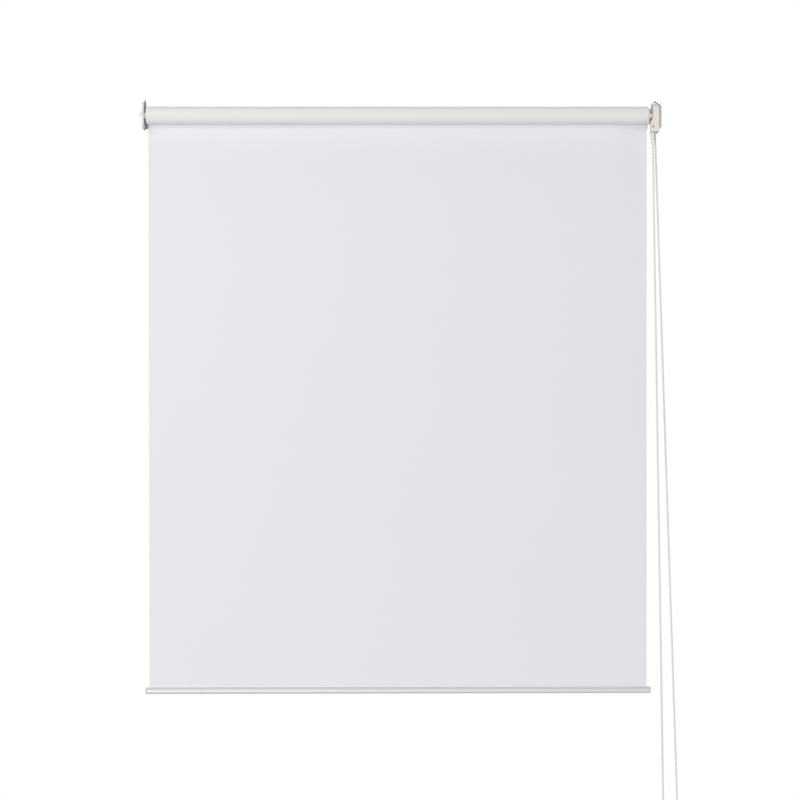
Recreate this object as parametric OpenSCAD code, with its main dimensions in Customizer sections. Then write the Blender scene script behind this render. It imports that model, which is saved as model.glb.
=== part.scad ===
// Roller blind with a side bead chain, fully lowered.
// X runs along the roller, the room is on the -Y side, the wall is the plane Y = 0, Z is up.
// The origin is the middle of the four wall screw holes, level with the roller axis.

/* [Cloth] */

// Width of the cloth
cloth_w = 1000; // [600:10:1800]
// Thickness of the cloth
cloth_t = 0.45; // [0.3:0.05:0.6]
// Layers of cloth left on the tube when fully lowered
layers = 4; // [2:1:8]
// Height of the roller axis above the underside of the bottom bar
drop = 1159; // [600:1:2400]

/* [Roller] */

// Outside diameter of the tube
tube_d = 32; // [25:1:45]
// Wall thickness of the tube
tube_wall = 1.2; // [0.8:0.1:2]
// Distance from the wall to the roller axis
axis_off = 28; // [24:1:60]

/* [Brackets] */

// Thickness of the steel plates
plate_t = 2; // [1.5:0.1:3]
// Diameter of the wall screw holes
hole_d = 4.5; // [3.5:0.1:6]
// Vertical distance between the two screw holes of a bracket
hole_pitch = 22; // [16:1:40]
// Horizontal distance between the screw holes of the two brackets
hole_span = 980; // [580:10:1780]
// Thickness of the moulded covers
cover_t = 2; // [1:0.5:3]

/* [Control unit] */

// Number of bead pockets round the chain wheel
wheel_pockets = 18; // [12:1:24]
// Outside radius of the housing drum
drum_r = 24; // [20:0.5:32]
// Wall thickness of the housing
shell_t = 1.5; // [1:0.1:2.5]
// Depth of the chain guide below the axis
guide_drop = 34; // [28:1:45]

/* [Bead chain] */

// Diameter of a bead
bead_d = 4.5; // [3.2:0.1:6]
// Distance from bead to bead
bead_pitch = 6; // [5:0.5:8]
// Length of the connector
connector_l = 23; // [15:1:30]
// Number of bead pockets round the hold-down pulley
pulley_pockets = 15; // [12:1:20]

/* [Bottom bar] */

// Depth of the bar from front to back
bar_d = 10; // [8:0.5:16]
// Height of the round body of the bar
bar_h = 13; // [10:0.5:24]
// Overhang of the bar and its caps past each edge of the cloth
bar_over = 8; // [3:0.5:12]
// Thickness of the end caps
cap_t = 3; // [1.5:0.5:5]

/* [Hidden] */

$fn = 64;

// Running gap on a turning fit, and the gap left round loose moving parts
run_gap = 0.08;
free_gap = 0.3;

// Roller
axis_y = -axis_off;
tube_r = tube_d / 2;
tube_in = tube_r - tube_wall;
roll_r = tube_r + layers * cloth_t;
cloth_x = cloth_w / 2;
key_w = 6.4;
key_floor = 10.2;
key_z = 13;
key_r = 1.8;
key_slot = 1.6;
collar_t = 1.5;
plug_l = 30;

// Brackets
left_in = -506;
left_out = left_in - plate_t;
right_in = 522;
right_out = right_in + plate_t;
hole_x = hole_span / 2;
hole_z = hole_pitch / 2;
flange_lo = -24;
flange_hi = 16;
flange_tip = 478;
lug_x = 513;
lug_top = 33;
slot_x = 504.8;
slot_w = 5;
slot_top = -14.2;
hook_z = 11;
hook_out = 8;
hook_y = -34;
hook_t = 3;

// Idle end
pin_r = 3.5;
pin_tip = left_in - 1.6;
pin_tail = -472;
bush_r = 5.5;
bush_flange_r = 7;
bush_flange_t = 1.5;
shoulder_r = 6.2;
shoulder_t = 2;
nose_t = 3.5;
chamber_r = 7;
chamber_end = -474;
spring_r = 5.2;
spring_wire = 0.5;
spring_turns = 6;

// Control unit
wheel_r = wheel_pockets * bead_pitch / (2 * PI);
wheel_x = 513.5;
wheel_w = 8;
wheel_rim = wheel_r + 0.8;
groove_half = bead_d / 2 + free_gap + 0.05;
pocket_r = bead_d / 2;
pocket_d = 0.7;
spindle_r = 3;
neck_r = 5;
neck_end = 493;
brake_r = 7;
brake_lo = 476;
brake_hi = 491.5;
spindle_tail = 468;
spring_bore = 9;
plug_end = 468;
coil_r = 0.55;
coil_step = 1;
coils = 6;
tang_r = 10;
screw_r = 1.6;
screw_head_r = 5.5;
screw_head_t = 3;
drum_lo = 507.5;
drum_hi = 520;
rim_t = 2;
back_t = 1.4;
fit_gap = 0.05;
guide_half = 24;
flare_x = 502.5;
flare_top = -6;
flare_low = -18;
flare_back = -38;
mouth_r = 3;
window_x = 507.5;
window_z = -24;
peg_r = 2;
peg_z = 13;
spigot_r = 6;

// Bottom bar
bar_y = axis_y + roll_r + cloth_t + 0.05 - 0.2;
bar_r = bar_d / 2;
bar_lo = -drop;
bar_hi = bar_lo + bar_h;
bar_x = cloth_x + bar_over - cap_t;
bar_slot = 1.1;
cavity_w = 5.2;
cavity_lo = bar_lo + 3;
cavity_hi = bar_hi - 2;
strip_t = 1.5;

// Cloth panel, one layer hanging just behind the roll
panel_y = axis_y + roll_r + 0.05;
panel_lo = cavity_lo + 1;

// Hold-down
pulley_r = pulley_pockets * bead_pitch / (2 * PI);
pulley_c = [547.9, -14, -1402];
pulley_w = 8;
pulley_rim = pulley_r + 0.8;
axle_r = 2.5;
base_t = 2.5;
base_r = 20;
ear_x = 30;
ear_r = 6;
ear_hole_r = 2.2;
case_in = 18.2;
case_face = -22;
case_t = 1.5;

// Chain route: over the chain wheel, through the guide, down to the hold-down pulley and back
front_mouth = [507.1, axis_y - wheel_r, -guide_drop];
rear_mouth = [516.4, axis_y + wheel_r, -guide_drop];
straight_z = -8;
front_low = pulley_c - [pulley_r, 0, 0];
strand = (front_low - front_mouth) / norm(front_low - front_mouth);
wheel_wrap = [for (a = [0:10:180]) [wheel_x, axis_y - wheel_r * cos(a), wheel_r * sin(a)]];
pulley_wrap = [for (a = [0:-15:-180]) pulley_c + pulley_r * [cos(a), 0, sin(a)]];
chain_route = concat(
    wheel_wrap,
    [[wheel_x, rear_mouth.y, straight_z], rear_mouth],
    pulley_wrap,
    [front_mouth, [wheel_x, front_mouth.y, straight_z]]
);

steel = [0.62, 0.62, 0.60];
cream = [0.90, 0.87, 0.82];
white = [0.93, 0.93, 0.92];
alu = [0.78, 0.79, 0.80];
cloth = [0.91, 0.91, 0.93];
cloth_back = [0.89, 0.89, 0.87];

// ---- helpers ----

// Round bar on the roller axis from x0 to x1
module x_round(x0, x1, r, y = axis_y, z = 0) {
    translate([x0, y, z]) rotate([0, 90, 0]) cylinder(h = x1 - x0, r = r);
}

// Round bar along Y from y0 (nearer the room) to y1
module y_round(y0, y1, r, x, z) {
    translate([x, y1, z]) rotate([90, 0, 0]) cylinder(h = y1 - y0, r = r);
}

// Outline drawn in Y and Z, swept along X from x0 to x1
module x_sweep(x0, x1) {
    translate([x0, 0, 0]) rotate([90, 0, 90]) linear_extrude(x1 - x0) children();
}

// Outline drawn in X and Z, swept along Y from y0 to y1
module y_sweep(y0, y1) {
    translate([0, y1, 0]) rotate([90, 0, 0]) linear_extrude(y1 - y0) children();
}

// Box given by two opposite corners
module box(a, b) {
    translate(a) cube(b - a);
}

function unit(v) = v / norm(v);

// Direction of the route at point i, half way between the two neighbouring stretches
function heading(route, i, closed) =
    let (n = len(route),
         before = closed ? route[(i + n - 1) % n] : route[max(i - 1, 0)],
         after = closed ? route[(i + 1) % n] : route[min(i + 1, n - 1)],
         a = i == 0 && !closed ? after - route[i] : route[i] - before,
         b = i == n - 1 && !closed ? route[i] - before : after - route[i])
    unit(unit(a) + unit(b));

// Points of one ring of a swept tube
function ring(p, dir, r, sides, lean) =
    let (u = unit(cross(dir, lean)), v = cross(dir, u))
    [for (k = [0:sides - 1]) p + r * (cos(360 * k / sides) * u + sin(360 * k / sides) * v)];

// Tube of radius r swept along a route
module swept_tube(route, r, sides, closed, lean) {
    n = len(route);
    last = closed ? n - 1 : n - 2;
    points = [for (i = [0:n - 1]) each ring(route[i], heading(route, i, closed), r, sides, lean)];
    skin = [for (i = [0:last], k = [0:sides - 1])
        let (a = i * sides, b = ((i + 1) % n) * sides, m = (k + 1) % sides)
        each [[a + k, b + k, a + m], [a + m, b + k, b + m]]];
    ends = closed ? [] : [[for (k = [0:sides - 1]) k],
                          [for (k = [sides - 1:-1:0]) (n - 1) * sides + k]];
    polyhedron(points, concat(skin, ends), convexity = 10);
}

// Wheel with a square groove and one round pocket per bead in its floor, axis along Z, centred
module bead_wheel(pitch_r, rim_r, width, pockets) {
    floor_r = pitch_r - groove_half;
    difference() {
        translate([0, 0, -width / 2]) cylinder(h = width, r = rim_r);
        difference() {
            translate([0, 0, -groove_half]) cylinder(h = 2 * groove_half, r = rim_r + 1);
            translate([0, 0, -width]) cylinder(h = 2 * width, r = floor_r);
        }
        for (k = [0:pockets - 1])
            rotate([0, 0, 360 * k / pockets]) translate([floor_r - pocket_d, 0, 0])
                rotate([0, 90, 0]) cylinder(h = 2 * pocket_d, r = pocket_r);
    }
}

// ---- brackets ----

// Side outline of the left bracket plate
module left_outline() {
    polygon([[0, flange_lo], [0, 32], [-9.6, 32], [-36, 25.4], [-36, -20], [-31.2, flange_lo]]);
}

// The same outline, one cover thickness larger everywhere but at the wall
module left_cover_outline() {
    polygon([[0, -26], [0, 34], [-10, 34], [-38, 27], [-38, -21], [-32, -26]]);
}

module right_outline() {
    polygon([[0, flange_lo], [0, lug_top], [-38, 21], [-38, -18], [-33, flange_lo]]);
}

module wall_holes(x) {
    for (z = [-hole_z, hole_z]) y_round(-plate_t - 1, 1, hole_d / 2, x, z);
}

// Steel L plate of the idle end, with the hook its cover snaps on
module left_bracket() color(steel) difference() {
    union() {
        x_sweep(left_out, left_in) left_outline();
        y_sweep(-plate_t, 0) polygon([[left_out, flange_lo], [left_out, flange_hi],
            [-flange_tip - 4, flange_hi], [-flange_tip, flange_hi - 4], [-flange_tip, -20],
            [-flange_tip - 4, flange_lo]]);
        y_sweep(hook_y, hook_y + hook_t)
            polygon([[left_in - 0.5, 0], [left_in - 0.5, hook_z], [left_out, hook_z],
                [left_out - hook_out, 0]]);
    }
    wall_holes(-hole_x);
    x_round(left_out - 1, left_in + 1, bush_r);
}

// Moulded tray over the outside of the left plate
module left_cover() color(white) difference() {
    x_sweep(left_out - cover_t, left_in) left_cover_outline();
    x_sweep(left_out, left_in + 1) left_outline();
    box([left_out - cover_t - 1, hook_y - free_gap, -free_gap],
        [left_out + 1, hook_y + hook_t + free_gap, hook_z + free_gap]);
}

// Bush pressed into the left plate
module pin_bush() color(white) difference() {
    union() {
        x_round(left_out, left_in, bush_r);
        x_round(left_in, left_in + bush_flange_t, bush_flange_r);
    }
    x_round(left_out - 1, left_in + bush_flange_t + 1, pin_r + run_gap);
}

// Steel L plate of the control end, with an open screw slot beside the housing
module right_bracket() color(steel) difference() {
    union() {
        x_sweep(right_in, right_out) right_outline();
        y_sweep(-plate_t, 0) polygon([[right_out, flange_lo], [right_out, lug_top],
            [lug_x + 4, lug_top], [lug_x, lug_top - 4], [lug_x, flange_hi],
            [flange_tip + 4, flange_hi], [flange_tip, flange_hi - 4], [flange_tip, -20],
            [flange_tip + 4, flange_lo]]);
    }
    wall_holes(hole_x);
    y_round(-plate_t - 1, 1, slot_w / 2, slot_x, slot_top - slot_w / 2);
    box([slot_x - slot_w / 2, -plate_t - 1, flange_lo - 1],
        [slot_x + slot_w / 2, 1, slot_top - slot_w / 2]);
    x_round(right_in - 1, right_out + 1, spigot_r);
    for (z = [-peg_z, peg_z]) x_round(right_in - 1, right_out + 1, peg_r, axis_y, z);
}

// Flat moulded cap outside the right plate
module right_cover() color(white) x_sweep(right_out, right_out + cover_t) right_outline();

// ---- control unit ----

// Drum and chain guide outline in Y and Z
module guard_outline(r, half, low) {
    translate([axis_y, 0]) circle(r = r);
    translate([axis_y - half, low]) square([2 * half, -low]);
}

// Back plate of the housing, set into the front shell and pegged to the right bracket
module guard_back() color(cream) difference() {
    union() {
        x_sweep(drum_hi - back_t, drum_hi)
            guard_outline(drum_r - rim_t - fit_gap, guide_half - rim_t - fit_gap,
                rim_t + fit_gap - guide_drop);
        x_round(wheel_x + wheel_w / 2 + 0.5, right_out, spigot_r);
        for (z = [-peg_z, peg_z]) x_round(drum_hi, right_out, peg_r, axis_y, z);
    }
    x_round(wheel_x, right_out + 1, spindle_r);
}

// Front shell of the housing: drum, chain guide and the two eyelets for the strands
module guard_front() color(cream) difference() {
    union() {
        x_sweep(drum_lo, drum_hi) guard_outline(drum_r, guide_half, -guide_drop);
        y_sweep(axis_y - guide_half, flare_back)
            polygon([[drum_lo + 1, flare_top], [drum_lo, flare_top], [flare_x, flare_low],
                [flare_x, -guide_drop], [drum_lo + 1, -guide_drop]]);
    }
    x_sweep(drum_lo + shell_t, drum_hi + 1)
        guard_outline(drum_r - rim_t, guide_half - rim_t, rim_t - guide_drop);
    y_sweep(axis_y - guide_half + rim_t, flare_back - rim_t)
        polygon([[drum_lo + shell_t + 1, flare_top - 0.5], [drum_lo + shell_t, flare_top - 0.5],
            [flare_x + shell_t, flare_low - 0.5], [flare_x + shell_t, rim_t - guide_drop],
            [drum_lo + shell_t + 1, rim_t - guide_drop]]);
    x_round(drum_lo - 1, wheel_x, neck_r + 1);
    for (m = [front_mouth, rear_mouth])
        translate([m.x, m.y, -guide_drop - 1]) cylinder(h = 4, r = mouth_r);
    box([window_x - 1, axis_y - guide_half - 1, window_z - 3],
        [window_x + 1, axis_y - guide_half + 3, window_z + 3]);
}

// Fixed spindle with the brake drum the wrap springs grip
module clutch_spindle() color(white) difference() {
    union() {
        x_round(spindle_tail, right_out, spindle_r);
        x_round(brake_lo, brake_hi, brake_r);
    }
    x_round(spindle_tail - 1, spindle_tail + 8, screw_r);
}

// Screw that keeps the drive plug on the spindle
module spindle_screw() color(steel) {
    x_round(spindle_tail - 0.5, spindle_tail + 7, screw_r);
    x_round(spindle_tail - screw_head_t - 0.5, spindle_tail - 0.5, screw_head_r);
}

// Chain wheel and the neck that carries its turn into the tube
module sprocket() color(white) difference() {
    union() {
        translate([wheel_x, axis_y, 0]) rotate([0, 90, 0])
            bead_wheel(wheel_r, wheel_rim, wheel_w, wheel_pockets);
        x_round(neck_end, wheel_x, neck_r);
    }
    x_round(neck_end - 1, wheel_x + wheel_w, spindle_r + run_gap);
}

// Slot that lets a plug pass the tube's keyway
module key_slot_cut(x0, x1) {
    box([x0, axis_y - key_w / 2, key_floor], [x1, axis_y + key_w / 2, tube_r]);
}

// Plug that drives the tube, with the clutch inside
module drive_plug() color(white) difference() {
    union() {
        x_round(plug_end, cloth_x, tube_in);
        x_round(cloth_x, cloth_x + collar_t, tube_r);
    }
    key_slot_cut(plug_end - 1, cloth_x);
    x_round(plug_end + 3, cloth_x - nose_t, spring_bore);
    x_round(plug_end - 1, cloth_x, spindle_r + run_gap);
    x_round(cloth_x - nose_t - 1, cloth_x + collar_t + 1, neck_r + run_gap);
    box([brake_lo, axis_y - 0.9, -tang_r - 0.5], [brake_hi, axis_y + 0.9, -spring_bore + 1]);
}

// One wrap spring, its first coil at x0, with the tang that reaches into the drive plug
module wrap_spring(x0) {
    translate([x0, axis_y, 0]) rotate([0, 90, 0]) rotate_extrude()
        for (k = [0:coils - 1])
            translate([brake_r + 0.05 + coil_r, coil_r + k * coil_step]) circle(r = coil_r);
    translate([x0 + coil_r, axis_y, -tang_r])
        cylinder(h = tang_r - brake_r - 0.05 - coil_r, r = coil_r - 0.05);
}

module wrap_springs() color(steel) {
    wrap_spring(brake_lo + 1);
    wrap_spring(brake_lo + 8.5);
}

// ---- roller ----

// Tube with the groove that holds the cloth
module roller_tube() color(alu) difference() {
    union() {
        difference() {
            x_round(-cloth_x, cloth_x, tube_r);
            x_round(-cloth_x - 1, cloth_x + 1, tube_in);
        }
        box([-cloth_x, axis_y - key_w / 2, key_floor],
            [cloth_x, axis_y + key_w / 2, tube_in + 0.3]);
    }
    x_round(-cloth_x - 1, cloth_x + 1, key_r, axis_y, key_z);
    box([-cloth_x - 1, axis_y - key_slot / 2, key_z], [cloth_x + 1, axis_y + key_slot / 2, tube_r + 1]);
}

// Rod that locks the cloth in the groove
module tube_spline() color(white)
    x_round(-cloth_x + 0.5, cloth_x - 0.5, key_r - 0.1, axis_y, key_z);

// Layers of cloth left on the tube, with the end tucked into the groove
module fabric_roll() color(cloth_back) {
    difference() {
        x_round(-cloth_x, cloth_x, roll_r);
        x_round(-cloth_x - 1, cloth_x + 1, tube_r);
    }
    box([-cloth_x, axis_y - cloth_t / 2, key_z + key_r + 0.05],
        [cloth_x, axis_y + cloth_t / 2, tube_r + 0.2]);
}

// Plug of the idle end, with the chamber for the sprung pin
module idle_plug() color(white) difference() {
    union() {
        x_round(-cloth_x, -cloth_x + plug_l, tube_in);
        x_round(-cloth_x - collar_t, -cloth_x, tube_r);
    }
    key_slot_cut(-cloth_x, -cloth_x + plug_l + 1);
    x_round(-cloth_x - collar_t + nose_t, chamber_end, chamber_r);
    x_round(-cloth_x - collar_t - 1, -cloth_x + plug_l + 1, pin_r + run_gap);
}

// Pin that drops into the left bracket
module idle_pin() color(white) {
    x_round(pin_tip, pin_tail, pin_r);
    x_round(-cloth_x - collar_t + nose_t + 0.05, -cloth_x - collar_t + nose_t + shoulder_t,
        shoulder_r);
}

// Coil spring behind the pin's shoulder
module idle_spring() color(steel) {
    x0 = -cloth_x - collar_t + nose_t + shoulder_t + spring_wire + 0.1;
    x1 = chamber_end - spring_wire - 0.1;
    steps = spring_turns * 12;
    swept_tube([for (i = [0:steps])
        let (a = 360 * spring_turns * i / steps)
        [x0 + (x1 - x0) * i / steps, axis_y + spring_r * cos(a), spring_r * sin(a)]],
        spring_wire, 6, false, [1, 0, 0]);
}

// ---- cloth panel and bottom bar ----

module fabric_panel() color(cloth)
    box([-cloth_x, panel_y, panel_lo], [cloth_x, panel_y + cloth_t, 0]);

// Outline of the bar in Y and Z, grown by g all round
module bar_outline(g) {
    translate([bar_y, bar_lo + bar_r]) circle(r = bar_r + g);
    translate([bar_y, bar_hi - bar_r]) circle(r = bar_r + g);
    translate([bar_y - bar_r - g, bar_lo + bar_r]) square([bar_d + 2 * g, bar_h - bar_d]);
}

module bottom_bar() color(alu) difference() {
    x_sweep(-bar_x, bar_x) bar_outline(0);
    box([-bar_x - 1, bar_y - cavity_w / 2, cavity_lo], [bar_x + 1, bar_y + cavity_w / 2, cavity_hi]);
    box([-bar_x - 1, panel_y - free_gap, cavity_hi - 1],
        [bar_x + 1, panel_y - free_gap + bar_slot, bar_hi + 1]);
}

// Stiff strip welded to the end of the cloth, locked in the bar
module bar_insert() color(white)
    box([-cloth_x + 1, panel_y + cloth_t + 0.02, panel_lo + 0.5],
        [cloth_x - 1, panel_y + cloth_t + 0.02 + strip_t, cavity_hi - 0.5]);

// End cap with the tongue that plugs into the bar; side is -1 or 1
module bar_cap(side) {
    x0 = side > 0 ? bar_x : -bar_x - cap_t;
    t0 = side > 0 ? cloth_x + 0.5 : -bar_x;
    x_sweep(x0, x0 + cap_t) bar_outline(0.3);
    box([t0, bar_y - cavity_w / 2 + 0.1, cavity_lo + 0.1],
        [t0 + bar_x - cloth_x - 0.5, bar_y + cavity_w / 2 - 0.1, cavity_hi - 0.1]);
}

module bar_cap_left() color(cream) bar_cap(-1);

module bar_cap_right() color(cream) bar_cap(1);

// ---- chain ----

module bead_chain() color(white) swept_tube(chain_route, bead_d / 2, 10, true, [1, 1, 1]);

// Clip that joins the two ends of the chain, bored so it follows its strand
module chain_connector() color(white)
    translate(front_mouth + 1.2 * strand)
        rotate([0, acos(strand.z), atan2(strand.y, strand.x)])
            difference() {
                union() {
                    cylinder(h = 0.65 * connector_l, r = 4);
                    translate([0, 0, 0.65 * connector_l])
                        cylinder(h = 0.35 * connector_l, r1 = 4, r2 = 3.1);
                }
                translate([0, 0, -1]) cylinder(h = connector_l + 2, r = bead_d / 2 + free_gap);
            }

// ---- hold-down below the view ----

module holddown_base() color(white) difference() {
    y_sweep(-base_t, 0) translate([pulley_c.x, pulley_c.z]) {
        circle(r = base_r);
        for (s = [-1, 1]) translate([s * ear_x, 0]) circle(r = ear_r);
        translate([-ear_x, -ear_r]) square([2 * ear_x, 2 * ear_r]);
    }
    for (s = [-1, 1]) y_round(-base_t - 1, 1, ear_hole_r, pulley_c.x + s * ear_x, pulley_c.z);
    y_round(-base_t - 1, 1, axle_r, pulley_c.x, pulley_c.z);
}

// Rivet that carries the pulley, with a spacer shoulder behind it and a head in front
module holddown_axle() color(steel) {
    y_round(case_face, 0, axle_r, pulley_c.x, pulley_c.z);
    y_round(pulley_c.y + pulley_w / 2 + 0.3, -base_t, axle_r + 2, pulley_c.x, pulley_c.z);
    y_round(case_face - 1.5, case_face, axle_r + 2, pulley_c.x, pulley_c.z);
}

module holddown_pulley() color(white) difference() {
    translate(pulley_c) rotate([90, 0, 0])
        bead_wheel(pulley_r, pulley_rim, pulley_w, pulley_pockets);
    y_round(pulley_c.y - pulley_w, pulley_c.y + pulley_w, axle_r + run_gap, pulley_c.x, pulley_c.z);
}

// Cup over the pulley, open at the top where the strands come in
module holddown_cover() color(white) difference() {
    y_round(case_face, -base_t, base_r, pulley_c.x, pulley_c.z);
    y_round(case_face + case_t, 1, case_in, pulley_c.x, pulley_c.z);
    y_round(case_face - 1, 1, axle_r, pulley_c.x, pulley_c.z);
    box(pulley_c + [-base_r - 1, case_face + case_t - pulley_c.y, 5],
        pulley_c + [base_r + 1, base_r, base_r + 1]);
}

left_bracket();
left_cover();
pin_bush();
right_bracket();
right_cover();
guard_back();
guard_front();
clutch_spindle();
spindle_screw();
sprocket();
drive_plug();
wrap_springs();
roller_tube();
tube_spline();
fabric_roll();
idle_plug();
idle_pin();
idle_spring();
fabric_panel();
bottom_bar();
bar_insert();
bar_cap_left();
bar_cap_right();
bead_chain();
chain_connector();
holddown_base();
holddown_axle();
holddown_pulley();
holddown_cover();
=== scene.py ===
import math

import bmesh
import bpy
from bpy.props import FloatProperty, FloatVectorProperty, IntProperty, PointerProperty
from mathutils import Euler, Matrix, Vector, noise


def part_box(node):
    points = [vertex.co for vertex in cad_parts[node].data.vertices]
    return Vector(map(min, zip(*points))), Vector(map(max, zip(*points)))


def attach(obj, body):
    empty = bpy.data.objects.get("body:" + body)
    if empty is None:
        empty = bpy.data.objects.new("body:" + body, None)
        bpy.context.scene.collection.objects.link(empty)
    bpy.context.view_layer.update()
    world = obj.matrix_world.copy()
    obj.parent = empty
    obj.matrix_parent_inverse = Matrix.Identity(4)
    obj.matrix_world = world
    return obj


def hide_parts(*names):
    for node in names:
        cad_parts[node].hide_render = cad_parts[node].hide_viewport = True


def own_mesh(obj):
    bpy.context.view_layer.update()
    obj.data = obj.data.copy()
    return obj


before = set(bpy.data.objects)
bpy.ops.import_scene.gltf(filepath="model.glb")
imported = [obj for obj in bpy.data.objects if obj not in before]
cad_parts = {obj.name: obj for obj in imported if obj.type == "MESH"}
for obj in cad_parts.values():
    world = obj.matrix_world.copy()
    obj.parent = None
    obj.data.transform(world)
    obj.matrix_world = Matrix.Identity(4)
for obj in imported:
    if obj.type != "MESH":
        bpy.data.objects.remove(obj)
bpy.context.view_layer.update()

bl_info = {
    "name": "Roller blind",
    "version": (1, 0, 0),
    "blender": (4, 5, 0),
    "location": "3D View > Sidebar > Blind",
    "description": "Builds a roller blind with a side bead chain round its moving frame",
    "category": "Add Mesh",
}

# Shapes are drawn in millimetres and shrunk to metres when a piece is finished.
# X runs along the roller, the room is at -Y, the wall is the plane Y = 0 and Z is up.
MM = 0.001


def mm(length):
    """A length setting, kept in metres, as millimetres."""
    return length / MM


def reach(node, side, axis):
    """Where a frame part ends along an axis, in millimetres; side 0 is its low end and 1 its high end."""
    return mm(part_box(node)[side][axis])


# ---- settings ----


def length(name, description, default, low=0.0, high=3.0):
    return FloatProperty(name=name, description=description, default=default, min=low, max=high,
                         precision=5, unit="LENGTH")


def tint(name, description, default):
    return FloatVectorProperty(name=name, description=description, default=default, min=0.0,
                               max=1.0, subtype="COLOR")


def strength(name, description, default):
    return FloatProperty(name=name, description=description, default=default, min=0.0)


class ClothSettings(bpy.types.PropertyGroup):
    thickness: length("Thickness", "Thickness of the coated cloth", 0.00045)
    layers: IntProperty(name="Layers", description="Turns of cloth left on the tube", default=4,
                        min=2, max=12)
    thread: length("Thread pitch", "Distance from thread to thread in the weave", 0.0005)
    sway: length("Sway", "How far the hanging cloth strays from a flat plane", 0.0005)
    front: tint("Room side", "Colour of the side facing the room", (0.785, 0.778, 0.810))
    hem: length("Hem", "Height of the welded hem above the bar", 0.004)
    back: tint("Wall side", "Colour of the coated side facing the wall", (0.775, 0.768, 0.738))


class RollerSettings(bpy.types.PropertyGroup):
    axis_off: length("Axis to wall", "Distance from the wall to the roller axis", 0.028)
    tube_radius: length("Tube radius", "Outside radius of the tube", 0.016)
    tube: tint("Tube", "Colour of the bare aluminium tube", (0.62, 0.63, 0.65))


class BracketSettings(bpy.types.PropertyGroup):
    plate: length("Plate", "Thickness of the steel plates", 0.002)
    cover: length("Cover", "Thickness of the moulded covers", 0.002)
    bend: length("Bend", "Outside radius of the bend between the two legs", 0.0022)
    screw_hole: length("Screw hole", "Radius of a wall screw hole", 0.00225)
    steel: tint("Steel", "Colour of the plated steel", (0.62, 0.62, 0.61))
    cover_colour: tint("Covers", "Colour of the moulded covers", (0.68, 0.68, 0.665))


class HousingSettings(bpy.types.PropertyGroup):
    drum_radius: length("Drum radius", "Outside radius of the chain wheel housing", 0.024)
    wall: length("Wall", "Wall thickness of the housing", 0.0017)
    guide: length("Guide depth", "How far the chain guide reaches below the axis", 0.034)
    shell: tint("Housing", "Colour of the chain wheel housing", (0.80, 0.74, 0.68))
    inner: tint("Inner parts", "Colour of the wheels, plugs and bushes", (0.87, 0.87, 0.85))


class ChainSettings(bpy.types.PropertyGroup):
    bead: length("Bead", "Diameter of a bead", 0.0045)
    pitch: length("Pitch", "Distance from bead to bead", 0.006)
    cord: length("Cord", "Diameter of the cord the beads are moulded on", 0.0022)
    colour: tint("Chain", "Colour of the beads and the connector", (0.78, 0.77, 0.74))


class BarSettings(bpy.types.PropertyGroup):
    depth: length("Depth", "Depth of the bar from front to back", 0.01)
    height: length("Height", "Height of the bar", 0.013)
    cap_round: length("Cap rounding", "Rounding of the end caps' outer edges", 0.0027)
    metal: tint("Bar", "Colour of the satin bar", (0.645, 0.63, 0.625))
    cap: tint("Caps", "Colour of the moulded end caps", (0.66, 0.64, 0.625))


class StageSettings(bpy.types.PropertyGroup):
    floor: tint("Floor", "Colour of the floor", (0.76, 0.76, 0.76))
    floor_level: FloatProperty(name="Floor level", description="Height of the floor", default=-2.3,
                               unit="LENGTH")
    front: strength("Front light", "Strength of the even light from the room", 1.42)
    overhead: strength("Overhead light", "Strength of the light from above", 0.62)
    bounce: strength("Bounce light", "Strength of the light off the floor", 0.2)
    side: strength("Side light", "Strength of the weak light from the right", 0.5)
    behind: strength("Back light", "Strength of the light on the wall side", 1.3)
    key: FloatProperty(name="Key light", description="Power of the large light at the upper left",
                       default=26.0, min=0.0, unit="POWER")
    ambient: strength("Ambient", "Strength of the even light all round", 0.26)


GROUPS = {
    "blind_cloth": ClothSettings,
    "blind_roller": RollerSettings,
    "blind_bracket": BracketSettings,
    "blind_housing": HousingSettings,
    "blind_chain": ChainSettings,
    "blind_bar": BarSettings,
    "blind_stage": StageSettings,
}

# ---- shared places, in millimetres ----

# Inner faces of the two side plates
LEFT_PLATE_IN = -506.0
RIGHT_PLATE_IN = 522.0

# Wall flanges of the brackets: height, width from the middle, cut corners and screw holes
FLANGE_LOW = -24.0
FLANGE_TOP = 16.0
FLANGE_TOE = 478.0
CORNER_CUT = 4.0
SCREW_X = 490.0
SCREW_Z = 11.0

# Cover hook on the left bracket
HOOK_Y = -34.0
HOOK_WIDTH = 3.0
HOOK_RISE = 11.0
HOOK_REACH = 8.0

# Chain wheel housing: its two sides, its necks and pegs, and the flare of its guide
SHELL_FRONT = 507.5
SHELL_BACK = 520.0
NECK_R = 6.0
PEG_Z = 13.0
PEG_R = 2.0
FLARE_X = 502.5
FLARE_TOP = -6.0
FLARE_LOW = -18.0
FLARE_BACK = -38.0

# Chain: the wheel, the two holes it leaves the housing by, and the hold-down's pulley
WHEEL_X = 513.5
WHEEL_PITCH_R = 17.1887
STRAIGHT_Z = -8.0
FRONT_MOUTH_X = 507.1
REAR_MOUTH_X = 516.4
MOUTH_Z = -34.0
MOUTH_R = 3.0
PULLEY_PITCH_R = 14.3239
PULLEY_AT = Vector((547.9, -14.0, -1402.0))

# Closer than this, two drawn places are the same
TOUCH = 0.01

# Where the camera stands, in metres, and how far it is turned from facing the wall, in radians
CAMERA_AT = (-0.0277, -4.2351, -0.5201)
CAMERA_LENS = 94.64
CAMERA_DIP = 0.01142
CAMERA_TURN = -0.00748
CAMERA_ROLL = -0.0009


# ---- ways to lay a flat outline: each turns a drawn point (u, v) into a place ----


def facing_x(x):
    """Outline drawn in Y and Z, laid at x."""
    return lambda u, v: Vector((x, u, v))


def facing_y(y):
    """Outline drawn in X and Z, laid at y."""
    return lambda u, v: Vector((u, y, v))


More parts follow.
